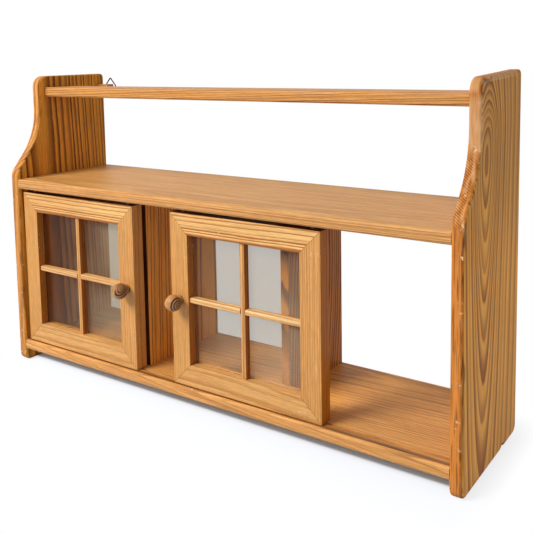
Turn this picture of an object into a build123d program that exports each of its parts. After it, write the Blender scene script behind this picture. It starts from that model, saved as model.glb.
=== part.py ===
from build123d import *
from math import cos, radians, sin, sqrt
import os

os.makedirs("parts", exist_ok=True)

# Pine wall shelf with two glazed sliding doors and a hanging rail along the top.
# Sizes are in millimetres. X runs along the shelf, Y from front to rear, Z upwards.
# The origin is on the floor, under the middle of the whole object, knobs included.

# Boards of the case
case_width = 820.0
case_depth = 211.5
side_thickness = 17.0
shelf_thickness = 17.0
divider_thickness = 14.0
bottom_shelf_rise = 21.5  # floor to the underside of the bottom shelf
bay_height = 271.5  # clear height between the two shelves
left_bay_width = 255.5
right_bay_width = 262.0
shelf_setback = 1.0  # shelf front edges, behind the front edges of the sides
shelf_edge_radius = 4.0
left_divider_gap = 5.5  # rear face of the doors to the front edge of the left divider
right_divider_gap = 27.5  # the same for the right divider
divider_edge_radius = 1.5

# Outline of the sides: plumb front, shoulder, slope, hollow, plumb upper front, sloping top
shoulder_above_shelf = 3.0
shoulder_radius = 24.0
slope_angle = 40.0
hollow_radius = 119.0
upper_setback = 54.0  # upper front edge, behind the lower one
crest_length = 58.0  # plumb part of the upper front, up to the top edge
top_slope = 1.3  # fall of the top edge towards the front
crest_corner_radius = 19.0
rear_corner_radius = 7.5
foot_corner_radius = 12.0
side_edge_radius = 3.5

# Top rail
rail_thickness = 17.0
rail_depth = 71.0
rail_drop = 20.0  # front end of the sides' top edge to the top face of the rail
rail_setback = 13.5  # front edge of the rail, behind the upper front of the sides
rail_edge_radius = 4.0

# Dowels that join the boards
dowel_diameter = 8.0
dowel_length = 30.0
dowel_in_face = 11.0  # depth in the face of a board, the rest is in the end of its neighbour
dowel_end_room = 1.0
dowel_chamfer = 0.8
dowel_inset = 35.0  # outermost dowels, from the edges of a shelf or divider
rail_dowel_inset = 17.0

# Doors
door_width = 261.5
door_thickness = 22.0
door_setback = 7.5  # front faces, behind the front edges of the sides
door_floor_gap = 0.5
door_lift_room = 5.5  # gap over a door, which lets it be lifted out of its lower groove
left_door_side_gap = 5.0  # left door to the left side, as it stands
door_spacing = 78.0  # between the two doors, as they stand
door_member_width = 33.0
door_arris_radius = 1.0
rebate_width = 6.0
glass_setback = 13.0  # front of the glass, behind the front of the door
glass_thickness = 3.0
glass_edge_gap = 1.0
muntin_width = 9.0
muntin_setback = 3.0
muntin_edge_radius = 2.5

# Guide pins of the doors and their grooves in the shelves
pin_diameter = 4.4
pin_inset = 18.0  # from the edges of a door
pin_in_door = 12.0
pin_chamfer = 0.6
slide_clearance = 0.3
bottom_groove_depth = 5.0
pin_floor_clearance = 0.2
top_groove_depth = 11.0
top_pin_engagement = 3.5  # length of a top pin in its groove, as the door stands

# Knobs
knob_diameter = 25.0
knob_standoff = 16.0  # centre of the ball, in front of the door
knob_base_diameter = 15.0
knob_base_thickness = 2.0
knob_neck_diameter = 11.0
knob_height = 131.5  # above the bottom edge of a door
knob_screw_diameter = 4.0
knob_screw_head_diameter = 8.0
knob_screw_grip = 14.0  # length in the knob
knob_bore_room = 1.0
screw_hole_clearance = 0.2
screw_slot_width = 0.9
screw_slot_depth = 0.8

# Hangers: a block glued in each rear corner, a strap and a triangular wire ring
block_above_rail = 0.8
block_height = 22.0
block_thickness = 16.0
block_margin = 3.5  # end of the block, past the strap
block_edge_radius = 1.0
strap_width = 12.0
strap_thickness = 0.8
strap_length = 13.0
strap_end_radius = 2.0
strap_screw_drop = 7.5  # screw, below the ring's hinge
ring_wire = 2.2
ring_clearance = 0.1
ring_width = 34.0  # between the centres of the wire
ring_height = 19.0
ring_base_radius = 3.0
ring_tip_radius = 1.8
ring_side_gap = 2.4  # ring to the side board
ring_drop = 7.0  # ring's hinge, below the top of the block
hanger_screw_diameter = 3.0
hanger_screw_length = 13.0
hanger_screw_head_diameter = 6.0
hanger_screw_head_height = 1.6
hanger_screw_dome_radius = 0.7

# Places along Z
bottom_shelf_z = bottom_shelf_rise
bay_floor_z = bottom_shelf_z + shelf_thickness
bay_ceiling_z = bay_floor_z + bay_height
shoulder_z = bay_ceiling_z + shelf_thickness + shoulder_above_shelf
slope_cos = cos(radians(slope_angle))
slope_sin = sin(radians(slope_angle))
slope_length = (upper_setback - (shoulder_radius + hollow_radius) * (1 - slope_cos)) / slope_sin
hollow_end_z = shoulder_z + (shoulder_radius + hollow_radius) * slope_sin + slope_length * slope_cos
crest_top_z = hollow_end_z + crest_length
rail_z = crest_top_z - rail_drop - rail_thickness

# Places along Y
knob_overhang = knob_standoff + knob_diameter / 2 - door_setback
front_y = (knob_overhang - case_depth) / 2
rear_y = front_y + case_depth
shelf_front_y = front_y + shelf_setback
shelf_depth = rear_y - shelf_front_y
top_rise = sin(radians(top_slope))
upper_front_y = front_y + upper_setback
top_front_y = upper_front_y + crest_corner_radius * (1 - top_rise)
top_rear_y = rear_y - rear_corner_radius * (1 + top_rise)
top_length = (top_rear_y - top_front_y) / cos(radians(top_slope))
rail_front_y = upper_front_y + rail_setback
door_front_y = front_y + door_setback
door_rear_y = door_front_y + door_thickness
door_middle_y = (door_front_y + door_rear_y) / 2

# Places along X
inner_width = case_width - 2 * side_thickness
inner_x = inner_width / 2
left_divider_x = -inner_x + left_bay_width + divider_thickness / 2
right_divider_x = inner_x - right_bay_width - divider_thickness / 2

dowel_radius = dowel_diameter / 2
dowel_in_end = dowel_length - dowel_in_face


def spread(first, last, count):
    """Evenly spaced positions from first to last."""
    return [first + (last - first) * step / (count - 1) for step in range(count)]


shelf_dowel_ys = spread(shelf_front_y + dowel_inset, rear_y - dowel_inset, 3)
rail_dowel_ys = spread(rail_front_y + rail_dowel_inset, rail_front_y + rail_depth - rail_dowel_inset, 2)
bottom_shelf_dowels = [(y, bottom_shelf_z + shelf_thickness / 2) for y in shelf_dowel_ys]
upper_shelf_dowels = [(y, bay_ceiling_z + shelf_thickness / 2) for y in shelf_dowel_ys]
rail_dowels = [(y, rail_z + rail_thickness / 2) for y in rail_dowel_ys]
case_ends = ((-inner_x, -1), (inner_x, 1))

dividers = []
for name, centre_x, gap in (
    ("left_divider", left_divider_x, left_divider_gap),
    ("right_divider", right_divider_x, right_divider_gap),
):
    divider_front_y = door_rear_y + gap
    dowel_ys = spread(divider_front_y + dowel_inset, rear_y - dowel_inset, 2)
    dividers.append((name, divider_front_y, [(centre_x, y) for y in dowel_ys]))

# Sides: one outline, its arrises rounded all round, with the holes for the dowels
# of both shelves and the rail
for name, inner_face_x, outward in (("left_side", -inner_x, -1), ("right_side", inner_x, 1)):
    with BuildPart() as side:
        with BuildSketch(Plane.YZ.offset(inner_face_x)):
            with BuildLine():
                front = Line((front_y, foot_corner_radius), (front_y, shoulder_z))
                shoulder = JernArc(front @ 1, front % 1, shoulder_radius, -slope_angle)
                slope = PolarLine(shoulder @ 1, slope_length, direction=shoulder % 1)
                hollow = JernArc(slope @ 1, slope % 1, hollow_radius, slope_angle)
                crest = Line(hollow @ 1, (upper_front_y, crest_top_z - crest_corner_radius))
                crest_corner = JernArc(crest @ 1, crest % 1, crest_corner_radius, top_slope - 90)
                top = PolarLine(crest_corner @ 1, top_length, direction=crest_corner % 1)
                rear_corner = JernArc(top @ 1, top % 1, rear_corner_radius, -90 - top_slope)
                rear = Line(rear_corner @ 1, (rear_y, foot_corner_radius))
                rear_foot = JernArc(rear @ 1, rear % 1, foot_corner_radius, -90)
                floor = Line(rear_foot @ 1, (front_y + foot_corner_radius, 0))
                JernArc(floor @ 1, floor % 1, foot_corner_radius, -90)
            make_face()
        extrude(amount=outward * side_thickness)
        fillet(side.faces().filter_by(Axis.X).edges(), side_edge_radius)
        with BuildSketch(Plane.YZ.offset(inner_face_x)):
            with Locations(*bottom_shelf_dowels, *upper_shelf_dowels, *rail_dowels):
                Circle(dowel_radius)
        extrude(amount=outward * dowel_in_face, mode=Mode.SUBTRACT)
    side.part.label = name
    export_step(side.part, f"parts/{name}.step")

# Shelves: the doors' groove is in the face towards the bays, with the divider dowels
groove_width = pin_diameter + 2 * slide_clearance

for name, base_z, bay_face_z, into_shelf, groove_depth, end_dowels in (
    ("bottom_shelf", bottom_shelf_z, bay_floor_z, -1, bottom_groove_depth, bottom_shelf_dowels),
    ("upper_shelf", bay_ceiling_z, bay_ceiling_z, 1, top_groove_depth, upper_shelf_dowels),
):
    with BuildPart() as shelf:
        with BuildSketch(Plane.XY.offset(base_z)):
            with Locations((0, rear_y)):
                Rectangle(inner_width, shelf_depth, align=(Align.CENTER, Align.MAX))
        extrude(amount=shelf_thickness)
        fillet(shelf.edges().filter_by(Axis.X).group_by(Axis.Y)[0], shelf_edge_radius)
        with BuildSketch(Plane.XY.offset(bay_face_z)):
            with Locations((0, door_middle_y)):
                Rectangle(inner_width, groove_width)
        extrude(amount=into_shelf * groove_depth, mode=Mode.SUBTRACT)
        with BuildSketch(Plane.XY.offset(bay_face_z)):
            with Locations(*dividers[0][2], *dividers[1][2]):
                Circle(dowel_radius)
        extrude(amount=into_shelf * dowel_in_face, mode=Mode.SUBTRACT)
        for end_x, outward in case_ends:
            with BuildSketch(Plane.YZ.offset(end_x)):
                with Locations(*end_dowels):
                    Circle(dowel_radius)
            extrude(amount=-outward * (dowel_in_end + dowel_end_room), mode=Mode.SUBTRACT)
    shelf.part.label = name
    export_step(shelf.part, f"parts/{name}.step")

# Top rail, between the sides
with BuildPart() as top_rail:
    with BuildSketch(Plane.XY.offset(rail_z)):
        with Locations((0, rail_front_y)):
            Rectangle(inner_width, rail_depth, align=(Align.CENTER, Align.MIN))
    extrude(amount=rail_thickness)
    fillet(top_rail.edges().filter_by(Axis.X), rail_edge_radius)
    for end_x, outward in case_ends:
        with BuildSketch(Plane.YZ.offset(end_x)):
            with Locations(*rail_dowels):
                Circle(dowel_radius)
        extrude(amount=-outward * (dowel_in_end + dowel_end_room), mode=Mode.SUBTRACT)
top_rail.part.label = "top_rail"
export_step(top_rail.part, "parts/top_rail.step")

# Dowels across the case ends: half in a side, half in a shelf or the rail
for name, end_dowels in (
    ("bottom_shelf_dowels", bottom_shelf_dowels),
    ("upper_shelf_dowels", upper_shelf_dowels),
    ("top_rail_dowels", rail_dowels),
):
    with BuildPart() as dowels:
        for end_x, outward in case_ends:
            with BuildSketch(Plane.YZ.offset(end_x + outward * dowel_in_face)):
                with Locations(*end_dowels):
                    Circle(dowel_radius)
            extrude(amount=-outward * dowel_length)
        chamfer(dowels.edges().filter_by(GeomType.CIRCLE), dowel_chamfer)
    dowels.part.label = name
    export_step(dowels.part, f"parts/{name}.step")

# Dividers, each with its dowels up into the upper shelf and down into the bottom shelf
bay_faces = ((bay_floor_z, -1), (bay_ceiling_z, 1))

for name, divider_front_y, dowel_points in dividers:
    with BuildPart() as divider:
        with BuildSketch(Plane.XY.offset(bay_floor_z)):
            with Locations((dowel_points[0][0], rear_y)):
                Rectangle(divider_thickness, rear_y - divider_front_y, align=(Align.CENTER, Align.MAX))
        extrude(amount=bay_height)
        fillet(divider.edges().filter_by(Axis.Z).group_by(Axis.Y)[0], divider_edge_radius)
        for face_z, outward in bay_faces:
            with BuildSketch(Plane.XY.offset(face_z)):
                with Locations(*dowel_points):
                    Circle(dowel_radius)
            extrude(amount=-outward * (dowel_in_end + dowel_end_room), mode=Mode.SUBTRACT)
    divider.part.label = name
    export_step(divider.part, f"parts/{name}.step")

    with BuildPart() as dowels:
        for face_z, outward in bay_faces:
            with BuildSketch(Plane.XY.offset(face_z + outward * dowel_in_face)):
                with Locations(*dowel_points):
                    Circle(dowel_radius)
            extrude(amount=-outward * dowel_length)
        chamfer(dowels.edges().filter_by(GeomType.CIRCLE), dowel_chamfer)
    dowels.part.label = f"{name}_dowels"
    export_step(dowels.part, f"parts/{name}_dowels.step")

# Doors: a mitred frame, a halved cross of muntins, a pane held by mitred beads,
# guide pins in the top and bottom rails, and a ball knob screwed on from the back
door_height = bay_height - door_floor_gap - door_lift_room
door_base_z = bay_floor_z + door_floor_gap
door_top_z = door_base_z + door_height
door_middle_z = (door_base_z + door_top_z) / 2
opening_width = door_width - 2 * door_member_width
opening_height = door_height - 2 * door_member_width
glass_front_y = door_front_y + glass_setback
glass_rear_y = glass_front_y + glass_thickness
muntin_front_y = door_front_y + muntin_setback
muntin_depth = glass_front_y - muntin_front_y
left_door_x = -inner_x + left_door_side_gap + door_width / 2
right_door_x = left_door_x + door_width + door_spacing
knob_offset = (door_width - door_member_width) / 2
knob_radius = knob_diameter / 2
knob_neck_radius = knob_neck_diameter / 2
knob_base_radius = knob_base_diameter / 2
neck_end = knob_standoff - sqrt(knob_radius**2 - knob_neck_radius**2)
knob_screw_radius = knob_screw_diameter / 2
knob_screw_length = door_thickness + knob_screw_grip
knob_screw_sink = (knob_screw_head_diameter - knob_screw_diameter) / 2
pin_radius = pin_diameter / 2
bottom_pin_reach = door_floor_gap + bottom_groove_depth - pin_floor_clearance
top_pin_reach = door_lift_room + top_pin_engagement


def ring_corners(centre_x, width, height):
    """Corners of an upright rectangle about the middle of a door, clockwise from top left."""
    left = centre_x - width / 2
    right = centre_x + width / 2
    top = door_middle_z + height / 2
    bottom = door_middle_z - height / 2
    return [(left, top), (right, top), (right, bottom), (left, bottom)]


def mitred(outer, inner, index):
    """Outline of one of the four mitred members between two rectangles."""
    following = (index + 1) % 4
    return [outer[index], outer[following], inner[following], inner[index]]


for door, door_x, knob_side in (("left_door", left_door_x, 1), ("right_door", right_door_x, -1)):
    edge = ring_corners(door_x, door_width, door_height)
    opening = ring_corners(door_x, opening_width, opening_height)
    rebate = ring_corners(door_x, opening_width + 2 * rebate_width, opening_height + 2 * rebate_width)
    knob_x = door_x + knob_side * knob_offset
    knob_z = door_base_z + knob_height
    knob_stile = "right_stile" if knob_side > 0 else "left_stile"
    pin_points = [(door_x - door_width / 2 + pin_inset, door_middle_y)]
    pin_points.append((door_x + door_width / 2 - pin_inset, door_middle_y))

    for index, member in enumerate(("top_rail", "right_stile", "bottom_rail", "left_stile")):
        grain = Axis.X if member.endswith("rail") else Axis.Z
        with BuildPart() as bar:
            with BuildSketch(Plane.XZ.offset(-door_front_y)):
                Polygon(*mitred(edge, opening, index), align=None)
            extrude(amount=-door_thickness)
            fillet(bar.edges().filter_by(grain).group_by(Axis.Y)[0], door_arris_radius)
            with BuildSketch(Plane.XZ.offset(-glass_front_y)):
                Polygon(*mitred(rebate, opening, index), align=None)
            extrude(amount=glass_front_y - door_rear_y, mode=Mode.SUBTRACT)
            if member == "top_rail":
                with BuildSketch(Plane.XY.offset(door_top_z)):
                    with Locations(*pin_points):
                        Circle(pin_radius)
                extrude(amount=-pin_in_door, mode=Mode.SUBTRACT)
            if member == "bottom_rail":
                with BuildSketch(Plane.XY.offset(door_base_z)):
                    with Locations(*pin_points):
                        Circle(pin_radius)
                extrude(amount=pin_in_door, mode=Mode.SUBTRACT)
            if member == knob_stile:
                rear_face = Plane(origin=(knob_x, door_rear_y, knob_z), x_dir=(1, 0, 0), z_dir=(0, 1, 0))
                with Locations(rear_face):
                    CounterSinkHole(
                        radius=knob_screw_radius + screw_hole_clearance,
                        counter_sink_radius=knob_screw_head_diameter / 2,
                        depth=door_thickness,
                        counter_sink_angle=90,
                    )
        bar.part.label = f"{door}_{member}"
        export_step(bar.part, f"parts/{door}_{member}.step")

        with BuildPart() as bead:
            with BuildSketch(Plane.XZ.offset(-glass_rear_y)):
                Polygon(*mitred(rebate, opening, index), align=None)
            extrude(amount=glass_rear_y - door_rear_y)
        side_of_pane = member.replace("_rail", "").replace("_stile", "")
        bead.part.label = f"{door}_bead_{side_of_pane}"
        export_step(bead.part, f"parts/{door}_bead_{side_of_pane}.step")

    # The upright muntin runs through in front, the level one runs through behind it
    with BuildPart() as vertical_muntin:
        with BuildSketch(Plane.XZ.offset(-muntin_front_y)):
            with Locations((door_x, door_middle_z)):
                Rectangle(muntin_width, opening_height)
        extrude(amount=-muntin_depth)
        fillet(vertical_muntin.edges().filter_by(Axis.Z).group_by(Axis.Y)[0], muntin_edge_radius)
        with BuildSketch(Plane.XZ.offset(-(muntin_front_y + muntin_depth / 2))):
            with Locations((door_x, door_middle_z)):
                Rectangle(muntin_width, muntin_width)
        extrude(amount=-muntin_depth / 2, mode=Mode.SUBTRACT)
    vertical_muntin.part.label = f"{door}_vertical_muntin"
    export_step(vertical_muntin.part, f"parts/{door}_vertical_muntin.step")

    with BuildPart() as level_muntin:
        with BuildSketch(Plane.XZ.offset(-muntin_front_y)):
            with Locations((door_x, door_middle_z)):
                Rectangle(opening_width, muntin_width)
        extrude(amount=-muntin_depth)
        fillet(level_muntin.edges().filter_by(Axis.X).group_by(Axis.Y)[0], muntin_edge_radius)
        with BuildSketch(Plane.XZ.offset(-muntin_front_y)):
            with Locations((door_x, door_middle_z)):
                Rectangle(muntin_width, muntin_width)
        extrude(amount=-muntin_depth / 2, mode=Mode.SUBTRACT)
    level_muntin.part.label = f"{door}_level_muntin"
    export_step(level_muntin.part, f"parts/{door}_level_muntin.step")

    with BuildPart() as glass:
        with BuildSketch(Plane.XZ.offset(-glass_front_y)):
            with Locations((door_x, door_middle_z)):
                Rectangle(
                    opening_width + 2 * (rebate_width - glass_edge_gap),
                    opening_height + 2 * (rebate_width - glass_edge_gap),
                )
        extrude(amount=-glass_thickness)
    glass.part.label = f"{door}_glass"
    export_step(glass.part, f"parts/{door}_glass.step")

    for name, start_z, length in (
        ("top_pins", door_top_z - pin_in_door, pin_in_door + top_pin_reach),
        ("bottom_pins", door_base_z - bottom_pin_reach, pin_in_door + bottom_pin_reach),
    ):
        with BuildPart() as pins:
            with BuildSketch(Plane.XY.offset(start_z)):
                with Locations(*pin_points):
                    Circle(pin_radius)
            extrude(amount=length)
            chamfer(pins.edges().filter_by(GeomType.CIRCLE), pin_chamfer)
        pins.part.label = f"{door}_{name}"
        export_step(pins.part, f"parts/{door}_{name}.step")

    knob_base = Plane(origin=(knob_x, door_front_y, knob_z), x_dir=(1, 0, 0), z_dir=(0, 0, 1))
    screw_face = Plane(origin=(knob_x, door_front_y, knob_z), x_dir=(1, 0, 0), z_dir=(0, -1, 0))
    knob_axis = Axis((knob_x, door_front_y, knob_z), (0, 1, 0))
    with BuildPart() as knob:
        with BuildSketch(knob_base):
            with BuildLine():
                Line((0, 0), (knob_base_radius, 0))
                rim = Line((knob_base_radius, 0), (knob_base_radius, -knob_base_thickness))
                neck = Line(rim @ 1, (knob_neck_radius, -neck_end))
                ball_side = (knob_radius, -knob_standoff)
                ball = ThreePointArc(neck @ 1, ball_side, (0, -knob_standoff - knob_radius))
                Line(ball @ 1, (0, 0))
            make_face()
        revolve(axis=knob_axis)
        with BuildSketch(screw_face):
            Circle(knob_screw_radius)
        extrude(amount=knob_screw_grip + knob_bore_room, mode=Mode.SUBTRACT)
    knob.part.label = f"{door}_knob"
    export_step(knob.part, f"parts/{door}_knob.step")

    screw_head = Plane(origin=(knob_x, door_rear_y, knob_z), x_dir=(1, 0, 0), z_dir=(0, 0, 1))
    slot_face = Plane(origin=(knob_x, door_rear_y, knob_z), x_dir=(1, 0, 0), z_dir=(0, -1, 0))
    with BuildPart() as knob_screw:
        with BuildSketch(screw_head):
            with BuildLine():
                head = Line((0, 0), (knob_screw_head_diameter / 2, 0))
                cone = Line(head @ 1, (knob_screw_radius, -knob_screw_sink))
                shank = Line(cone @ 1, (knob_screw_radius, -knob_screw_length + knob_screw_radius))
                tip = Line(shank @ 1, (0, -knob_screw_length))
                Line(tip @ 1, (0, 0))
            make_face()
        revolve(axis=knob_axis)
        with BuildSketch(slot_face):
            Rectangle(knob_screw_head_diameter, screw_slot_width)
        extrude(amount=screw_slot_depth, mode=Mode.SUBTRACT)
    knob_screw.part.label = f"{door}_knob_screw"
    export_step(knob_screw.part, f"parts/{door}_knob_screw.step")

# Hangers, one in each rear corner: the ring turns in the rolled end of its strap
ring_radius = ring_wire / 2
bore_radius = ring_radius + ring_clearance
roll_radius = bore_radius + strap_thickness
block_top_z = rail_z + rail_thickness + block_above_rail
ring_z = block_top_z - ring_drop
ring_y = rear_y - roll_radius
block_rear_y = ring_y - roll_radius
strap_rear_y = block_rear_y + strap_thickness
hanger_x = inner_x - ring_side_gap - ring_radius - ring_width / 2
block_inner_x = hanger_x - strap_width / 2 - block_margin
strap_screw_z = ring_z - strap_screw_drop
hanger_screw_radius = hanger_screw_diameter / 2

for name, hand in (("left", -1), ("right", 1)):
    with BuildPart() as block:
        with BuildSketch(Plane.XY.offset(block_top_z - block_height)):
            with Locations((hand * (inner_x + block_inner_x) / 2, block_rear_y)):
                Rectangle(inner_x - block_inner_x, block_thickness, align=(Align.CENTER, Align.MAX))
        extrude(amount=block_height)
        chamfer(block.edges().filter_by(Axis.X), block_edge_radius)
        with BuildSketch(Plane.XZ.offset(-block_rear_y)):
            with Locations((hand * hanger_x, strap_screw_z)):
                Circle(hanger_screw_radius)
        extrude(amount=hanger_screw_length - strap_thickness, mode=Mode.SUBTRACT)
    block.part.label = f"hanging_block_{name}"
    export_step(block.part, f"parts/hanging_block_{name}.step")

    with BuildPart() as strap:
        with BuildSketch(Plane.YZ.offset(hand * hanger_x)):
            with Locations((ring_y, ring_z)):
                Circle(roll_radius)
            with Locations((block_rear_y, ring_z)):
                Rectangle(strap_thickness, strap_length, align=(Align.MIN, Align.MAX))
            with Locations((ring_y, ring_z)):
                Circle(bore_radius, mode=Mode.SUBTRACT)
        extrude(amount=strap_width / 2, both=True)
        fillet(strap.edges().filter_by(Axis.Y).group_by(Axis.Z)[0], strap_end_radius)
        with BuildSketch(Plane.XZ.offset(-strap_rear_y)):
            with Locations((hand * hanger_x, strap_screw_z)):
                Circle(hanger_screw_radius + screw_hole_clearance)
        extrude(amount=strap_thickness, mode=Mode.SUBTRACT)
    strap.part.label = f"hanger_strap_{name}"
    export_step(strap.part, f"parts/hanger_strap_{name}.step")

    with BuildPart() as ring:
        with BuildLine(Plane.XZ.offset(-ring_y)):
            wire = FilletPolyline(
                (hand * hanger_x - ring_width / 2, ring_z),
                (hand * hanger_x, ring_z + ring_height),
                (hand * hanger_x + ring_width / 2, ring_z),
                radius=[ring_base_radius, ring_tip_radius, ring_base_radius],
                close=True,
            )
        with BuildSketch(Plane(origin=wire @ 0, z_dir=wire % 0)):
            Circle(ring_radius)
        sweep(path=wire)
    ring.part.label = f"hanger_ring_{name}"
    export_step(ring.part, f"parts/hanger_ring_{name}.step")

with BuildPart() as hanger_screws:
    with BuildSketch(Plane.XZ.offset(-strap_rear_y)):
        with Locations((-hanger_x, strap_screw_z), (hanger_x, strap_screw_z)):
            Circle(hanger_screw_head_diameter / 2)
    extrude(amount=-hanger_screw_head_height)
    fillet(hanger_screws.edges().group_by(Axis.Y)[-1], hanger_screw_dome_radius)
    with BuildSketch(Plane.XZ.offset(-strap_rear_y)):
        with Locations((-hanger_x, strap_screw_z), (hanger_x, strap_screw_z)):
            Circle(hanger_screw_radius)
    extrude(amount=hanger_screw_length)
hanger_screws.part.label = "hanger_screws"
export_step(hanger_screws.part, "parts/hanger_screws.step")
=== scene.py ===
from math import cos, pi, radians, sin

import bmesh
import bpy
from mathutils import Matrix, Vector, noise


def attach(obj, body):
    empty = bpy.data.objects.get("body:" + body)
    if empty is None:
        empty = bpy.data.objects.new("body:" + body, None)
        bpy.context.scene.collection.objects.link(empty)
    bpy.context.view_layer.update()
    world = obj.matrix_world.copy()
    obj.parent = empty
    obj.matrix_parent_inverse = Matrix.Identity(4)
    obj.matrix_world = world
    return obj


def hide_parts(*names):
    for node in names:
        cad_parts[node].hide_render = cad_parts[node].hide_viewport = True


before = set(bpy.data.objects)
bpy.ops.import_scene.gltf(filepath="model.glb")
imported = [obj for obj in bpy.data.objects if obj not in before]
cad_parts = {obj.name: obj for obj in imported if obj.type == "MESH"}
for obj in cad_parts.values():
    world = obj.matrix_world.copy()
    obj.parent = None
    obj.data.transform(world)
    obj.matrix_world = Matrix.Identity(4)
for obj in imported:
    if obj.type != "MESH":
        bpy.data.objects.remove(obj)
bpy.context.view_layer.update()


# ---------------------------------------------------------------------------------------
# Sides. Each is one planed pine board, sawn to its outline, its arrises rounded by hand
# until the front edge is nearly half round. Waxed, and darkened to honey by age.

def linear(code):
    """An sRGB hex colour as linear RGBA."""
    parts = [int(code[i : i + 2], 16) / 255 for i in (1, 3, 5)]
    return [c / 12.92 if c <= 0.04045 else ((c + 0.055) / 1.055) ** 2.4 for c in parts] + [1.0]


def add(tree, kind, inputs, **settings):
    """Adds a node with its settings, and sets or links its inputs."""
    node = tree.nodes.new(kind)
    for name, value in settings.items():
        setattr(node, name, value)
    for name, value in inputs.items():
        if isinstance(value, bpy.types.NodeSocket):
            tree.links.new(value, node.inputs[name])
        else:
            node.inputs[name].default_value = value
    return node


def new_material(name):
    """A material with an empty tree, and that tree."""
    material = bpy.data.materials.new(name)
    material.use_nodes = True
    material.node_tree.nodes.clear()
    return material, material.node_tree


def dress(node_names, material):
    """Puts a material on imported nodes."""
    for name in node_names:
        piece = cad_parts[name]
        if not piece.material_slots:
            piece.data.materials.append(material)
        for slot in piece.material_slots:
            slot.material = material


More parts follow.
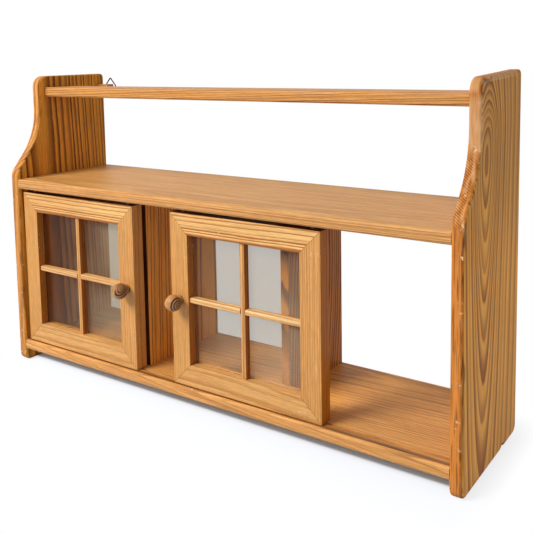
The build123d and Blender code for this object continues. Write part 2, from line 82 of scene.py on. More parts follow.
def pine(name, along, pith, ring, early, late, depth=1.0, wander=10.0, ripple=0.7, bend=420.0,
         line=0.3, uneven=1.6, quicken=None, tone=0.35, warm="#D08C46", hatch=1.0, fade=None,
         face="Y", edge="#FFFFFF", edge_depth=1.0, flank_shade="#FFFFFF", mitre=None, track=None,
         nicks=0.0, handled=False, rough=0.5, wax=0.3):
    """Waxed pine: growth rings about a pith, cut through wherever the board's faces lie.

    Rings: along is the grain's axis, and pith the pith's path, as (place along the grain,
    across, across). ring is the width of a ring, wander and ripple the slow and quick bends
    of the rings, and bend the length of a slow one. line is the share of a ring before its
    dark wood begins, and uneven the spread of the widths. quicken is (radius, rate): the
    rings widen beyond that radius.
    Colour: early and late are the pale and the dark wood, and depth is the strength of the
    dark one, tone that of the warm blotches and hatch that of the fine fibres. fade is
    (start, end, factor) and darkens the board along its grain, as painted shade.
    Faces: face is the axis that the planed face looks along. edge is a tint on the other
    faces, least at the rear, where the rings show edge_depth as strongly: wear by hands on the
    sides' edges, and painted shade on the left divider and the doors' top rails. flank is
    painted shade on the faces towards X. mitre is the middle of a mitred frame, track the
    place along Y of a groove along X, darkened by soiling and painted shade, and nicks the
    number of small dents that show raw wood. A handled piece carries its wear and soiling,
    and its painted shade and highlights, as attributes.
    Lengths are in millimetres.
    """
    material, tree = new_material(name)

    def maths(operation, a, b=0.0, c=0.0, clamp=False):
        node = add(tree, "ShaderNodeMath", {0: a, 1: b, 2: c}, operation=operation, use_clamp=clamp)
        return node.outputs[0]

    def smooth(value, low, high, out_low=0.0, out_high=1.0):
        return add(tree, "ShaderNodeMapRange", {
            "Value": value, "From Min": low, "From Max": high, "To Min": out_low, "To Max": out_high,
        }, interpolation_type="SMOOTHSTEP").outputs[0]

    def mix(factor, a, b, blend="MIX"):
        node = add(tree, "ShaderNodeMix", {0: factor, 6: a, 7: b}, data_type="RGBA", blend_type=blend)
        return node.outputs[2]

    place = add(tree, "ShaderNodeTexCoord", {}).outputs["Object"]
    place = add(tree, "ShaderNodeVectorMath", {0: place, "Scale": 1000}, operation="SCALE").outputs[0]
    axes = add(tree, "ShaderNodeSeparateXYZ", {0: place}).outputs
    order = {"X": (1, 2, 0), "Y": (0, 2, 1), "Z": (0, 1, 2)}[along]
    across, length = [axes[order[0]], axes[order[1]]], axes[order[2]]
    plain = add(tree, "ShaderNodeCombineXYZ", {
        "X": across[0], "Y": across[1], "Z": length}).outputs[0]

    # The pith's path is a curve on each axis, from its points -500 to 500 mm along the grain.
    share = maths("MULTIPLY_ADD", length, 0.001, 0.5, clamp=True)
    for side in (0, 1):
        if len(pith) == 1:
            across[side] = maths("SUBTRACT", across[side], pith[0][side + 1])
            continue
        curve = tree.nodes.new("ShaderNodeFloatCurve")
        tree.links.new(share, curve.inputs["Value"])
        points = curve.mapping.curves[0].points
        while len(points) < len(pith):
            points.new(0.5, 0.5)
        for point, stop in zip(points, pith):
            point.location = (stop[0] / 1000 + 0.5, stop[side + 1] / 1000 + 0.5)
        curve.mapping.update()
        path = maths("MULTIPLY_ADD", curve.outputs[0], 1000, -500)
        across[side] = maths("SUBTRACT", across[side], path)

    def streaks(width, run, detail=1.0, slope=0.0):
        scaled = add(tree, "ShaderNodeMapping", {
            "Vector": plain, "Rotation": (slope, slope, 0), "Scale": (1 / width, 1 / width, 1 / run)})
        return add(tree, "ShaderNodeTexNoise", {
            "Vector": scaled.outputs[0], "Scale": 1.0, "Detail": detail, "Roughness": 0.55,
        }).outputs["Fac"]

    # Rings: years counts them outwards from the pith, and season runs from 0 to 1 in each.
    flat = add(tree, "ShaderNodeCombineXYZ", {"X": across[0], "Y": across[1], "Z": 0.0}).outputs[0]
    radius = add(tree, "ShaderNodeVectorMath", {0: flat}, operation="LENGTH").outputs["Value"]
    radius = maths("MULTIPLY_ADD", streaks(110, bend), wander * 2, radius)
    radius = maths("MULTIPLY_ADD", streaks(9, 60), ripple * 2, radius)
    radius = maths("MULTIPLY_ADD", streaks(3, 9), ripple * 0.6, radius)
    if quicken:
        start, rate = quicken
        over = maths("MAXIMUM", maths("SUBTRACT", radius, start), 0.0)
        grown = maths("LOGARITHM", maths("MULTIPLY_ADD", over, 1 / rate, 1.0), 2.718)
        radius = maths("MULTIPLY_ADD", grown, rate, maths("SUBTRACT", radius, over))
    years = maths("DIVIDE", radius, ring)
    spacing = add(tree, "ShaderNodeTexNoise", {"W": maths("MULTIPLY", years, 0.45), "Scale": 1.0},
                  noise_dimensions="1D").outputs["Fac"]
    years = maths("MULTIPLY_ADD", spacing, uneven, years)
    season = maths("FRACT", years)
    chance = add(tree, "ShaderNodeTexWhiteNoise", {"W": maths("FLOOR", years)},
                 noise_dimensions="1D").outputs["Value"]
    late_wood = maths("MULTIPLY", smooth(season, line, 0.85), smooth(season, 0.88, 1.0, 1.0, 0.0))
    late_wood = maths("MULTIPLY", late_wood, maths("MULTIPLY_ADD", chance, 0.55, 0.45))
    fibre = streaks(1.2, 70, 2.0)
    strokes = streaks(1.4, 14, 1.0, 0.3)
    blotch = streaks(38, 150, 2.0)

    # Colour of the wood, and the tints of the faces that aren't the planed one.
    colour = mix(smooth(blotch, 0.35, 0.7, 0.0, tone), linear(early), linear(warm))
    normal = add(tree, "ShaderNodeSeparateXYZ", {
        0: add(tree, "ShaderNodeNewGeometry", {}).outputs["Normal"]}).outputs
    turned = smooth(maths("ABSOLUTE", normal["XYZ".index(face)]), 0.5, 0.85, 1.0, 0.0)
    sideways = smooth(maths("ABSOLUTE", normal["X"]), 0.5, 0.85)
    late_wood = maths("MULTIPLY", late_wood, maths("MULTIPLY_ADD", turned, edge_depth - 1.0, 1.0))
    colour = mix(maths("MULTIPLY", late_wood, depth, clamp=True), colour, linear(late))
    # painted shade on the left divider and the top rails, wear by hands on the sides' edges
    edge_wear_and_shade = maths("MULTIPLY", turned, smooth(normal["Y"], 0.3, 0.8, 1.0, 0.25))
    colour = mix(edge_wear_and_shade, colour, linear(edge), "MULTIPLY")
    # painted shade on the faces towards X
    colour = mix(sideways, colour, linear(flank_shade), "MULTIPLY")
    if mitre:
        taller = 2.0  # half of what the opening is taller than wide
        reach = [maths("ABSOLUTE", maths("SUBTRACT", axes[i], mitre[i // 2])) for i in (0, 2)]
        joint = maths("ABSOLUTE", maths("ADD", maths("SUBTRACT", *reach), taller))
        joint = smooth(joint, 0.3, 1.1, 0.45, 0.0)
        colour = mix(joint, colour, linear("#7A4416"))
    shade = maths("MULTIPLY", smooth(fibre, 0.3, 0.7, 1.0 - 0.17 * hatch, 1.0 + 0.12 * hatch),
                  smooth(strokes, 0.3, 0.7, 1.0 - 0.09 * hatch, 1.0 + 0.06 * hatch))
    # painted shade: darker along the grain
    if fade:
        start, end, factor = fade
        shade = maths("MULTIPLY", shade, smooth(length, start, end, 1.0, factor))
    colour = add(tree, "ShaderNodeHueSaturation", {"Color": colour, "Value": shade}).outputs[0]

    # Wear, soiling, and painted shade and highlights.
    if handled:
        # grime holds soiling and painted shade, worn raw wood and painted highlights
        grime_and_shade = add(tree, "ShaderNodeAttribute", {}, attribute_name="grime_and_shade").outputs["Fac"]
        colour = mix(grime_and_shade, colour, linear("#552505"))
        wear_and_highlight = add(tree, "ShaderNodeAttribute", {}, attribute_name="wear_and_highlight").outputs["Fac"]
        colour = mix(wear_and_highlight, colour, linear("#EFC692"))
    if track:
        # painted shade and soiling: a dark line along the doors' track
        track_dirt_and_shade = maths("MULTIPLY", smooth(axes["Y"], track - 1.2, track, 0.0, 0.88),
                     smooth(axes["Y"], track + 2.5, track + 11, 1.0, 0.0))
        track_dirt_and_shade = maths("MULTIPLY", track_dirt_and_shade, smooth(normal["Z"], 0.7, 0.9))
        track_dirt_and_shade = maths("MULTIPLY", track_dirt_and_shade, smooth(fibre, 0.35, 0.6, 1.0, 0.75))
        colour = mix(track_dirt_and_shade, colour, linear("#562B0D"))
    if nicks:
        crowded = smooth(streaks(30, 60), 0.62 - 0.2 * nicks, 0.7 - 0.2 * nicks)
        dents = maths("MULTIPLY", smooth(streaks(1.6, 4, 2.0), 0.64, 0.7), crowded)
        colour = mix(dents, colour, linear("#F6DDB8"))

    height = maths("MULTIPLY_ADD", fibre, 0.5, late_wood)
    bump = add(tree, "ShaderNodeBump", {"Height": height, "Strength": 0.5, "Distance": 0.0003})
    shader = add(tree, "ShaderNodeBsdfPrincipled", {
        "Base Color": colour,
        "Roughness": smooth(fibre, 0.2, 0.8, rough + 0.06, rough - 0.06),
        "IOR": 1.5,
        "Specular IOR Level": wax,
        "Normal": bump.outputs[0],
    })
    add(tree, "ShaderNodeOutputMaterial", {"Surface": shader.outputs[0]})
    return material


def side_outline(step, fall):
    """The outline of a side as (y, z, heading, distance), upwards from the front foot.

    Lengths are in millimetres. fall is the slope of the top edge towards the front, in
    degrees. Each run of the outline is a straight length, or a radius and its turn.
    """
    front_y, foot_radius, brow_radius, crest_radius = -95.25, 12.0, 19.0, 7.5
    neck_depth, brow_z = 157.5, 485.402  # the board at its neck, and where its brow begins
    rise = radians(fall)
    crest = (neck_depth - brow_radius * (1 - sin(rise)) - crest_radius * (1 + sin(rise))) / cos(rise)
    rear = brow_z - foot_radius + (brow_radius - crest_radius) * cos(rise) + crest * sin(rise)
    y, z, heading, run = front_y, foot_radius, pi / 2, 0.0
    points = []
    for length, radius, turn in (
        (318.0, None, 0),  # front edge
        (None, 24.0, -40),  # shoulder
        (31.961, None, 0),  # slope
        (None, 119.0, 40),  # hollow
        (39.0, None, 0),  # neck
        (None, brow_radius, fall - 90),
        (crest, None, 0),
        (None, crest_radius, -90 - fall),
        (rear, None, 0),
        (None, foot_radius, -90),
        (187.5, None, 0),  # foot
        (None, foot_radius, -90),
    ):
        turn = radians(turn)
        if radius:
            length = radius * abs(turn)
        count = max(4, round(length / step))
        for _ in range(count):
            points.append((y, z, heading, run))
            middle = heading + turn / count / 2
            chord = length / count if not radius else 2 * radius * sin(abs(turn) / count / 2)
            y, z = y + chord * cos(middle), z + chord * sin(middle)
            heading += turn / count
            run += length / count
    return points


def side_board(name, inner, outer, fall, wear):
    """A side as one closed mesh, between its faces at inner and outer along X.

    wear gives how deep each point of its edge is cut, how dark it is with soiling and
    painted shade, and how pale with raw wood and painted highlights. Lengths are in
    millimetres.
    """
    arris, thickness = 3.5, abs(outer - inner)
    bends, flats = 6, 10  # strips around an arris, and across the rest of the edge
    rim = 7.0  # width of the strip around each flat face, which keeps the face's shading flat
    rim_cut = 3.0  # only deeper wear reaches past the rim
    step = 0.7  # along the outline
    inward = 1 if inner > outer else -1
    section = [(0.0, rim)]
    section += [(arris * (1 - cos(a * pi / (2 * bends))), arris * (1 - sin(a * pi / (2 * bends))))
                for a in range(bends + 1)]
    section += [(arris + (thickness - 2 * arris) * i / flats, 0.0) for i in range(1, flats)]
    section += [(thickness - depth, inset) for depth, inset in reversed(section[: bends + 2])]
    shape = bmesh.new()
    grime_and_shade_layer = shape.verts.layers.float.new("grime_and_shade")
    wear_and_highlight_layer = shape.verts.layers.float.new("wear_and_highlight")
    rows = []
    for y, z, heading, run in side_outline(step, fall):
        row = []
        for place, (depth, inset) in enumerate(section):
            cut, grime_and_shade, wear_and_highlight = wear(y, z, run, depth)
            if place in (0, len(section) - 1):
                cut, grime_and_shade, wear_and_highlight = max(0.0, cut - rim_cut), 0.0, 0.0
            sunk = inset + cut
            vertex = shape.verts.new(Vector((
                outer + inward * depth, y + sunk * sin(heading), z - sunk * cos(heading))) / 1000)
            vertex[grime_and_shade_layer], vertex[wear_and_highlight_layer] = grime_and_shade, wear_and_highlight
            row.append(vertex)
        rows.append(row)
    for row, after in zip(rows, rows[1:] + rows[:1]):
        for i in range(len(section) - 1):
            shape.faces.new((row[i], row[i + 1], after[i + 1], after[i])).smooth = True
    shape.faces.new([row[0] for row in rows])
    shape.faces.new([row[-1] for row in reversed(rows)])
    bmesh.ops.recalc_face_normals(shape, faces=shape.faces)
    mesh = bpy.data.meshes.new(name)
    shape.to_mesh(mesh)
    shape.free()
    board = bpy.data.objects.new(name, mesh)
    bpy.context.collection.objects.link(board)
    return board


def roughness_at(scale, *place):
    """Smooth noise from -1 to 1 with features of that size. Each use has its own last place."""
    return noise.noise(Vector(place) / scale)


def between(value, low, high):
    """0 below low, 1 above high, smooth between."""
    share = min(max((value - low) / (high - low), 0.0), 1.0)
    return share * share * (3 - 2 * share)


def right_side_wear(y, z, run, depth):
    """The most handled board: saw marks and broken fibres on its slope, dents down its front.

    run is the distance along the outline, and depth is counted from the outer face.
    """
    front = between(-y, 20, 30)
    front_corner = between(-y, 22, 32)
    slope = between(z, 318, 340) * (1 - between(z, 405, 430)) * front
    upper = between(z, 400, 430) * (1 - between(z, 470, 490))
    outer_arris = 1 - between(depth, 2.5, 6.5)
    torn = max(0.0, roughness_at(7, run, depth * 0.8, 3.0) + 0.12) * slope * outer_arris * 5.0
    torn += max(0.0, roughness_at(2.2, run, depth, 9.0)) * slope * (0.25 + outer_arris)

    tooth = 3.6  # from one saw mark to the next
    saw = max(0.0, sin((run - 0.8 * depth) * 2 * pi / tooth)) ** 2
    saw *= slope * between(depth, 4.0, 7.0) * between(roughness_at(11, run, depth, 21.0), -0.5, -0.1)

    dent = between(roughness_at(2.6, run * 0.6, depth, 40.0), 0.42, 0.55) * front
    dent *= between(roughness_at(25, run, 0, 5.0), 0.0, 0.3)
    dent *= between(depth, 0.5, 2.0) * (1 - between(depth, 9.0, 13.0))

    # A darker band runs along the outer arris, and soiling lies in the saw marks and between
    # the fibres.
    band = between(depth, 0.3, 1.0) * (1 - between(depth, 3.0, 5.5)) * front
    band *= 1 - 0.7 * max(slope, upper)
    band *= 0.85 + 0.25 * roughness_at(4, run * 0.3, depth * 2, 60.0)
    fibre = between(roughness_at(1.3, run * 0.04, depth, 66.0), 0.0, 0.45) * front * (1 - slope)
    smudge = 0.5 * max(0.0, roughness_at(3, run * 0.3, depth, 70.0)) * slope
    grime_and_shade = min(1.0, saw + 0.55 * band * (1 - dent) + 0.6 * fibre + smudge)

    # Raw wood shows in the dents and on the slope, and the neck is paler. Where the crest is
    # broken raw wood shows with a painted highlight, and the brow's front corner carries a
    # painted highlight.
    pale = between(roughness_at(4, run * 0.2, depth, 80.0), -0.2, 0.4)
    wear_and_highlight = 0.9 * dent + (0.35 * slope * (1 - saw) + 0.06 * front) * pale
    wear_and_highlight = min(1.0, wear_and_highlight + 0.42 * upper * front * (0.75 + 0.25 * pale))
    # painted highlight, with raw wood, where the crest is broken
    crest = between(z, 492, 500) * (1 - between(depth, 2.0, 7.0)) * (1 - between(y, 95, 108))
    wear_and_highlight = max(wear_and_highlight, crest * (0.3 + 0.3 * roughness_at(6, run, depth, 95.0)))
    # painted highlight on the brow's front corner
    brow = between(z, 478, 492) * front_corner * between(depth, 3.0, 8.0)
    wear_and_highlight = max(wear_and_highlight, 0.35 * brow)

    # One chip out of the foot, near its rear end, darkened inside as painted shade.
    from_chip = y - 57 + 3 * roughness_at(3, y, depth, 33.0)
    chip = (1 - between(z, 1, 3)) * (1 - between(abs(from_chip), 3, 8))
    chip *= 1 - between(depth, 1.5, 5.0)
    # painted shade inside the chip
    grime_and_shade = max(grime_and_shade * (1 - wear_and_highlight), 0.8 * chip)
    broken = 3.5 * crest * (1 - min(depth, 7.0) / 7.0)
    return torn + 0.35 * saw + 0.5 * dent + broken + 4.0 * chip, grime_and_shade, wear_and_highlight


def left_side_wear(y, z, run, depth):
    """Small dents and darkened fibres down the front."""
    front = between(-y, 20, 30) if z < 470 else 0.0
    dent = between(roughness_at(2.4, run * 0.6, depth, 140.0), 0.45, 0.56) * front
    dent *= between(roughness_at(25, run, 0, 115.0), 0.1, 0.35)
    fibre = between(roughness_at(1.6, run * 0.05, depth, 160.0), 0.15, 0.5) * front
    return 0.4 * dent, 0.45 * fibre * (1 - dent), 0.8 * dent


left_board = side_board("left_side_board", -393.0, -410.0, 0.3, left_side_wear)
# flank gives its faces towards X painted shade.
left_board.data.materials.append(
    pine("pine_left_side", "Z", [(-500, -453, -2), (500, -453, -42)], 7.6, "#EFA24C", "#6E330C",
         depth=1.2, wander=3, ripple=1.0, face="X", edge="#F2F0FF", edge_depth=0.6,
         flank_shade="#FDFDC2", wax=0.15, handled=True))
right_board = side_board("right_side_board", 393.0, 410.0, 2.4, right_side_wear)
# fade darkens it towards its top as painted shade.
right_board.data.materials.append(
    pine("pine_right_side", "Z",
         [(-100, 340, -26), (50, 351.5, -26), (140, 358.5, -25), (240, 365.5, -25),
          (320, 372.5, -24), (359, 376, -24), (401, 379, -23), (438, 376, -20),
          (472, 365.5, -17), (505, 356, -15)],
         3.5, "#FBB24F", "#9E561B", depth=1.05, wander=1.6, ripple=0.3, face="X",
         edge="#EBCDCB", edge_depth=0.15, quicken=(52, 17), line=0.1, wax=0.06, uneven=0.6,
         hatch=0.7, tone=0.3, fade=(240, 430, 0.76), handled=True))
for board, node in ((left_board, "left_side"), (right_board, "right_side")):
    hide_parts(node)
    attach(board, "root")


# ---------------------------------------------------------------------------------------
# Shelves. Planed pine boards between the sides, with a rounded front edge, and a groove
# towards the bays in which the pins of the doors run. Along it the lower one has a dark
# line, soiling and painted shade from the doors' feet.

dress(["upper_shelf"], pine(
    "pine_upper_shelf", "X", [(-500, -60, 190), (500, -90, 200)], 3.4, "#E3AA61", "#C0813E",
    depth=0.9, wander=7, bend=700, face="Z", edge="#FFF7F9", edge_depth=1.9, ripple=0.4))
# track lays soiling and painted shade along the doors' feet.
dress(["bottom_shelf"], pine(
    "pine_bottom_shelf", "X", [(-500, 60, -50), (500, 110, -60)], 3.6, "#EEAD5D", "#AE6F2D",
    depth=0.9, wander=7, bend=700, face="Z", edge="#FDF8FF", edge_depth=0.7, ripple=0.4,
    nicks=0.08, track=-89.6))


# ---------------------------------------------------------------------------------------
# Dividers. Thinner pine boards set back behind the doors. The right one's dark colours are
# painted shade, and so is the nearly black front edge of the left one.

# The edge tint is painted shade, nearly black on its front edge.
dress(["left_divider"], pine(
    "pine_left_divider", "Z", [(0, -150, 90), (300, -155, 95)], 8.0, "#FFB54E", "#8E4E1E",
    depth=1.25, wander=5, face="X", edge="#4A2F1E", wax=0.15, line=0.5))
# its dark colours are painted shade
dress(["right_divider"], pine(
    "pine_right_divider", "Z", [(0, 100, 30), (150, 118, 42), (300, 95, 55)], 7.0, "#C98024",
    "#642D06", depth=1.25, wander=5, face="X", wax=0.15, line=0.45))


# ---------------------------------------------------------------------------------------
# Top rail. A narrow pine board laid flat between the sides near their tops, rounded on all
# its long edges, with its rings close and nearly straight.

dress(["top_rail"], pine(
    "pine_top_rail", "X", [(-500, -60, 400), (500, -40, 430)], 3.6, "#DF9B4E", "#8F4C17",
    wander=6, bend=600, face="Z"))


# ---------------------------------------------------------------------------------------
# Dowels and guide pins. Turned beech, plain and pale. The dowels are glued into their
# holes, and the pins stand out of the doors into the shelves' grooves.

beech = pine("turned_beech", "Z", [(0, 300, 300)], 1.2, "#D9B183", "#BE9161", depth=0.5)
dress(["bottom_shelf_dowels", "upper_shelf_dowels", "top_rail_dowels", "left_divider_dowels",
       "right_divider_dowels", "left_door_top_pins", "left_door_bottom_pins",
       "right_door_top_pins", "right_door_bottom_pins"], beech)


# ---------------------------------------------------------------------------------------
# Hangers. A pine block glued in each rear corner carries a folded strap of brassed steel,
# held by a small screw, in which a triangle of browned wire turns.

def worn_metal(name, bare, dull, rough, grit=1.2):
    """Metal with a dull film in patches. grit is the size of the patches in millimetres."""
    material, tree = new_material(name)
    place = add(tree, "ShaderNodeTexCoord", {}).outputs["Object"]
    film = add(tree, "ShaderNodeTexNoise", {"Vector": place, "Scale": 1000 / grit, "Detail": 3.0})
    colour = add(tree, "ShaderNodeMix", {
        "Factor": film.outputs["Fac"], "A": linear(bare), "B": linear(dull),
    }, data_type="RGBA").outputs["Result"]
    cover = add(tree, "ShaderNodeMapRange", {
        "Value": film.outputs["Fac"], "To Min": rough - 0.1, "To Max": rough + 0.15,
    }).outputs[0]
    bump = add(tree, "ShaderNodeBump", {
        "Height": film.outputs["Fac"], "Strength": 0.3, "Distance": 0.0001,
    })
    shader = add(tree, "ShaderNodeBsdfPrincipled", {
        "Base Color": colour, "Metallic": 1.0, "Roughness": cover, "Normal": bump.outputs[0],
    })
    add(tree, "ShaderNodeOutputMaterial", {"Surface": shader.outputs[0]})
    return material


dress(["hanging_block_left", "hanging_block_right"],
      pine("pine_block", "X", [(0, 150, 440)], 3.5, "#D9954B", "#A66426"))
dress(["hanger_ring_left", "hanger_ring_right"],
      worn_metal("browned_wire", "#4A3724", "#1C130B", 0.45))
dress(["hanger_strap_left", "hanger_strap_right"],
      worn_metal("brassed_strap", "#9C8148", "#4F3D1E", 0.4))
dress(["hanger_screws", "left_door_knob_screw", "right_door_knob_screw"],
      worn_metal("dull_steel", "#9B9890", "#5E5A53", 0.38))


# ---------------------------------------------------------------------------------------
# Door frames. Four mitred members each, of paler pine than the case, glued at the corners.
# Both top rails are dark on their upper and lower edges, a painted shade for the gap under
# the upper shelf, and the members' faces towards X carry painted shade.

door_middles = {"left_door": -257.25, "right_door": 82.25}  # along X, in millimetres
door_middle_z = 171.75

# flank is painted shade on the faces towards X, darkest on the left stiles.
for door, flank_shade in (("left_door", "#FFF6D2"), ("right_door", "#DFC43F")):
    middle_x = door_middles[door]
    for member, along, pith, ring, early, late, depth, ripple in (
        ("top_rail", "X", [(-500, -30, 400), (500, 0, 375)], 4.6, "#F6C074", "#A65516", 1.25, 0.7),
        ("bottom_rail", "X", [(0, 160, 110)], 3.4, "#E8AD65", "#C6843E", 0.8, 0.5),
        ("left_stile", "Z", [(0, middle_x - 230, -20)], 3.4, "#E1A258", "#C27F38", 0.7, 0.5),
        ("right_stile", "Z", [(0, middle_x + 300, 20)], 3.2, "#E6A65D", "#BB7532", 0.9, 0.5),
    ):
        dress([f"{door}_{member}"], pine(
            f"pine_{door}_{member}", along, pith, ring, early, late, depth=depth, wander=4,
            ripple=ripple, mitre=(middle_x, door_middle_z), nicks=0.1,
            flank_shade="#D6AE66" if member == "left_stile" else flank_shade,
            # the top rails' edge tint is painted shade for the gap under the upper shelf
            edge="#5A3A22" if member == "top_rail" else "#FFFFFF"))


# ---------------------------------------------------------------------------------------
# Muntins and glazing beads. Thin pine strips: the muntins cross in front of the pane,
# halved into each other, and the beads hold the pane in its rebate from behind.

for door, middle_x in door_middles.items():
    for strips, along, pith, ring, early, late in (
        (("vertical_muntin",), "Z", [(0, middle_x + 18, -60), (300, middle_x + 24, -62)], 4.0,
         "#EFB26A", "#B56A2C"),
        (("level_muntin",), "X", [(-500, -60, 221), (500, -60, 201)], 4.0, "#F9CB88", "#C2702A"),
        (("bead_top", "bead_bottom"), "X", [(0, 30, 300)], 3.0, "#D99F5C", "#B27A3C"),
        (("bead_left", "bead_right"), "Z", [(0, middle_x, 60)], 3.0, "#D99F5C", "#B27A3C"),
    ):
        dress([f"{door}_{strip}" for strip in strips], pine(
            f"pine_{door}_{strips[0]}", along, pith, ring, early, late, wander=3,
            # flank darkens the faces towards X as painted shade.
            flank_shade="#C49A5C"))


# ---------------------------------------------------------------------------------------
# Panes. Thin drawn window glass, a little smoky with age, let into the rebate of each
# frame; the left pane's darker tint is painted shade. Lamps shine through it: a plain
# glass shader would put the bays in the dark.

# each pane's tint; the left one's darker tint is painted shade.
for door, smoke_and_shade, haze in (("left_door", "#C3BAA9", 0.0), ("right_door", "#E3DED8", 0.05)):
    middle_x = door_middles[door]
    window_glass, tree = new_material(f"window_glass_{door}")
    clear = add(tree, "ShaderNodeBsdfPrincipled", {
        "Base Color": linear(smoke_and_shade), "Transmission Weight": 1.0, "Roughness": 0.0, "IOR": 1.2})
    lit = add(tree, "ShaderNodeBsdfTransparent", {"Color": linear("#FFFCF5")})
    lamp_ray = add(tree, "ShaderNodeLightPath", {}).outputs["Is Shadow Ray"]
    place = add(tree, "ShaderNodeTexCoord", {}).outputs["Object"]
    axes = add(tree, "ShaderNodeSeparateXYZ", {0: place}).outputs

    # A film of dust in clouds and low down, and a haze that rises to the right.
    cloud = add(tree, "ShaderNodeTexNoise", {"Vector": place, "Scale": 11.0, "Detail": 2.0})
    cloud = add(tree, "ShaderNodeMapRange", {
        "Value": cloud.outputs["Fac"], "From Min": 0.35, "From Max": 0.65, "To Min": 0.35,
    }).outputs[0]
    rising_haze = add(tree, "ShaderNodeMapRange", {
        "Value": axes["X"], "From Min": middle_x / 1000 - 0.09, "From Max": middle_x / 1000 + 0.08,
        "To Min": haze, "To Max": 0.14,
    }, interpolation_type="SMOOTHSTEP").outputs[0]
    settled = add(tree, "ShaderNodeMapRange", {
        "Value": axes["Z"], "From Min": 0.18, "From Max": 0.09, "To Min": 0.0, "To Max": 0.03,
    }).outputs[0]
    film = add(tree, "ShaderNodeMath", {0: rising_haze, 1: settled}, operation="ADD").outputs[0]
    film = add(tree, "ShaderNodeMath", {0: film, 1: cloud}, operation="MULTIPLY").outputs[0]
    dust = add(tree, "ShaderNodeBsdfDiffuse", {"Color": linear("#D9C6A6")})
    dusty = add(tree, "ShaderNodeMixShader", {0: film, 1: clear.outputs[0], 2: dust.outputs[0]})
    pane = add(tree, "ShaderNodeMixShader", {0: lamp_ray, 1: dusty.outputs[0], 2: lit.outputs[0]})
    add(tree, "ShaderNodeOutputMaterial", {"Surface": pane.outputs[0]})

    # The pane is bedded 0.1 mm clear of the muntins, whose backs show through it.
    pane_size = (0.2055, 0.0028, 0.2095)
    pane_middle = (middle_x / 1000, -0.07325, 0.17175)
    shape = bmesh.new()
    bmesh.ops.create_cube(shape, size=1.0, matrix=(
        Matrix.Translation(pane_middle) @ Matrix.Diagonal((*pane_size, 1.0))))
    mesh = bpy.data.meshes.new(f"{door}_pane")
    shape.to_mesh(mesh)
    shape.free()
    mesh.materials.append(window_glass)
    sheet = bpy.data.objects.new(f"{door}_pane", mesh)
    bpy.context.collection.objects.link(sheet)
    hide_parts(f"{door}_glass")
    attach(sheet, door)


# ---------------------------------------------------------------------------------------
# Knobs. Balls turned across the grain from a darker piece of pine, so that the rings show
# as circles about the ball's side. The pith passes near each ball's middle at a slant. Each
# ball darkens towards +X, as painted shade.

knob_y, knob_z = -103.75, 170.5

for door, knob_x, lean, rise, ring, core in (
    ("left_door", -143.0, -30, 50, 4.0, 2.9),
    ("right_door", -32.0, -8, -8, 3.2, 0.4),
):
    dress([f"{door}_knob"], pine(
        f"pine_{door}_knob", "X",
        [(knob_x - 60, knob_y - lean, knob_z - rise), (knob_x + 60, knob_y + lean, knob_z + rise)],
        ring, "#DE9D5C", "#331204", depth=1.6, wander=core, ripple=0.2, tone=0.5, warm="#A86C34",
        rough=0.42, line=0.3, uneven=0.6, hatch=0.5, fade=(knob_x - 6, knob_x + 12, 0.6)))


# ---------------------------------------------------------------------------------------
# Room. A pale floor that runs up into nothing, a wide window lamp at the left front, two
# weak lamps at the right, and the camera at its angle.

bpy.ops.mesh.primitive_plane_add(size=12, location=(0, 0, -0.0002))
floor = bpy.context.object
floor.name = "floor"
white_paper, tree = new_material("white_paper")
rays = add(tree, "ShaderNodeLightPath", {}).outputs
behind_glass = rays["Is Transmission Ray"]
seen = add(tree, "ShaderNodeMath", {0: rays["Is Camera Ray"], 1: behind_glass}, operation="ADD")
seen = add(tree, "ShaderNodeMath", {
    0: seen.outputs[0], 1: rays["Is Glossy Ray"]}, operation="ADD", use_clamp=True).outputs[0]

# Around the shelf's footprint the paper keeps its shadows, and further out it turns white.
footprint = (0.405, 0.071, 0)  # half of its length and of its depth, in metres
longways = (2.5, 1, 0)  # the paper turns white sooner past the ends
on_floor = add(tree, "ShaderNodeTexCoord", {}).outputs["Object"]
beside = add(tree, "ShaderNodeVectorMath", {0: on_floor}, operation="ABSOLUTE").outputs[0]
beside = add(tree, "ShaderNodeVectorMath", {0: beside, 1: footprint}, operation="SUBTRACT").outputs[0]
sides = add(tree, "ShaderNodeSeparateXYZ", {0: beside}).outputs
within = add(tree, "ShaderNodeMath", {0: sides["X"], 1: sides["Y"]}, operation="MAXIMUM").outputs[0]
beside = add(tree, "ShaderNodeVectorMath", {0: beside, 1: (0, 0, 0)}, operation="MAXIMUM").outputs[0]
beside = add(tree, "ShaderNodeVectorMath", {0: beside, 1: longways}, operation="MULTIPLY").outputs[0]
beside = add(tree, "ShaderNodeVectorMath", {0: beside}, operation="LENGTH").outputs["Value"]
rim = add(tree, "ShaderNodeMapRange", {
    "Value": within, "From Min": -0.005, "From Max": 0.003, "To Min": 0.25,
}, interpolation_type="SMOOTHSTEP").outputs[0]
near = add(tree, "ShaderNodeMapRange", {
    "Value": within, "From Min": -0.005, "From Max": 0.002, "To Max": 0.5,
}, interpolation_type="SMOOTHSTEP").outputs[0]
far = add(tree, "ShaderNodeMapRange", {
    "Value": beside, "From Min": 0.0, "From Max": 0.1, "To Max": 0.5}).outputs[0]
lift = add(tree, "ShaderNodeMath", {0: seen, 1: 0.42}, operation="MULTIPLY").outputs[0]
lift = add(tree, "ShaderNodeMath", {0: lift, 1: rim}, operation="MULTIPLY").outputs[0]
fade = add(tree, "ShaderNodeMath", {0: near, 1: far}, operation="ADD").outputs[0]
fade = add(tree, "ShaderNodeMath", {0: fade, 1: seen}, operation="MULTIPLY").outputs[0]
paper = add(tree, "ShaderNodeBsdfDiffuse", {"Color": linear("#C8D4EA")})
glow = add(tree, "ShaderNodeEmission", {"Color": linear("#FFFFFF"), "Strength": lift})
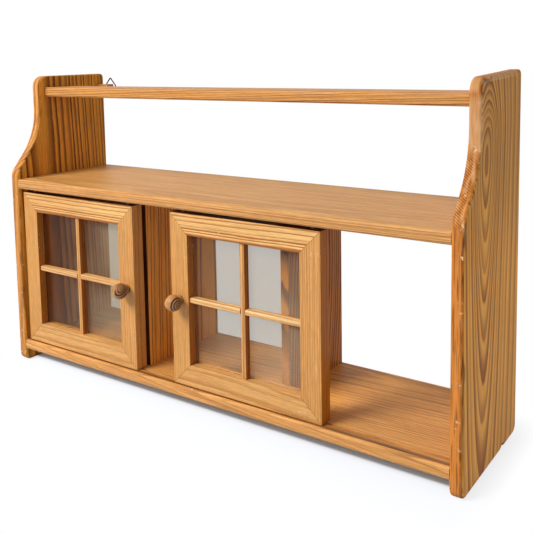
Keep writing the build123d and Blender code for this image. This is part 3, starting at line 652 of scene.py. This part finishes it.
paper = add(tree, "ShaderNodeAddShader", {0: paper.outputs[0], 1: glow.outputs[0]})
through_glass = 0.66  # how bright the white stands behind the smoky panes
level = add(tree, "ShaderNodeMapRange", {
    "Value": behind_glass, "To Min": 1.0, "To Max": through_glass}).outputs[0]
beyond = add(tree, "ShaderNodeEmission", {"Color": linear("#FFFFFF"), "Strength": level})
paper = add(tree, "ShaderNodeMixShader", {0: fade, 1: paper.outputs[0], 2: beyond.outputs[0]})
add(tree, "ShaderNodeOutputMaterial", {"Surface": paper.outputs[0]})
floor.data.materials.append(white_paper)

# The room is white where it is seen, and only dimly lit where it lights or is mirrored.
room_light = 0.22
world = bpy.data.worlds.new("pale_room")
bpy.context.scene.world = world
world.use_nodes = True
tree = world.node_tree
tree.nodes.clear()
rays = add(tree, "ShaderNodeLightPath", {}).outputs
seen = add(tree, "ShaderNodeMath", {
    0: rays["Is Camera Ray"], 1: rays["Is Transmission Ray"],
}, operation="ADD", use_clamp=True).outputs[0]
direction = add(tree, "ShaderNodeTexCoord", {}).outputs["Generated"]
backwards = add(tree, "ShaderNodeSeparateXYZ", {0: direction}).outputs["Y"]
backdrop = add(tree, "ShaderNodeMapRange", {
    "Value": backwards, "From Min": -0.7, "From Max": 0.1, "To Min": room_light, "To Max": 1.0,
}).outputs[0]
mirrored = add(tree, "ShaderNodeMapRange", {
    "Value": rays["Is Glossy Ray"], "To Min": room_light, "To Max": backdrop}).outputs[0]
level = add(tree, "ShaderNodeMapRange", {
    "Value": rays["Is Transmission Ray"], "To Min": 1.0, "To Max": through_glass}).outputs[0]
strength = add(tree, "ShaderNodeMapRange", {
    "Value": seen, "To Min": mirrored, "To Max": level}).outputs[0]
sky = add(tree, "ShaderNodeBackground", {"Color": linear("#FFFFFF"), "Strength": strength})
add(tree, "ShaderNodeOutputWorld", {"Surface": sky.outputs[0]})

lit_point = Vector((0, 0, 0.25))
for name, place, size, watts in (
    ("left_window", (-1.18, -2.05, 2.10), 1.3, 87),
    ("right_window", (2.5, 0.1, 0.55), 1.0, 9),
    ("right_lamp", (1.62, -1.93, 1.88), 0.4, 5),
):
    lamp = bpy.data.lights.new(name, "AREA")
    lamp.shape = "SQUARE"
    lamp.size = size
    lamp.energy = watts
    stand = bpy.data.objects.new(name, lamp)
    stand.location = place
    stand.rotation_euler = (lit_point - Vector(place)).to_track_quat("-Z", "Y").to_euler()
    bpy.context.collection.objects.link(stand)

camera_place = (0.7102, -0.9264, 0.5317)
camera_turn = radians(34.64)  # to the left of straight at the shelf
camera_dip = radians(6.0)
camera_roll = radians(-0.97)
lens = bpy.data.cameras.new("camera")
lens.sensor_width = 36.0
lens.lens = 51.39
lens.shift_y = -0.2429
camera = bpy.data.objects.new("camera", lens)
bpy.context.collection.objects.link(camera)
camera.matrix_world = (
    Matrix.Translation(camera_place)
    @ Matrix.Rotation(camera_turn, 4, "Z")
    @ Matrix.Rotation(pi / 2 - camera_dip, 4, "X")
    @ Matrix.Rotation(camera_roll, 4, "Z")
)
bpy.context.scene.camera = camera

bpy.context.scene.view_settings.view_transform = "Standard"
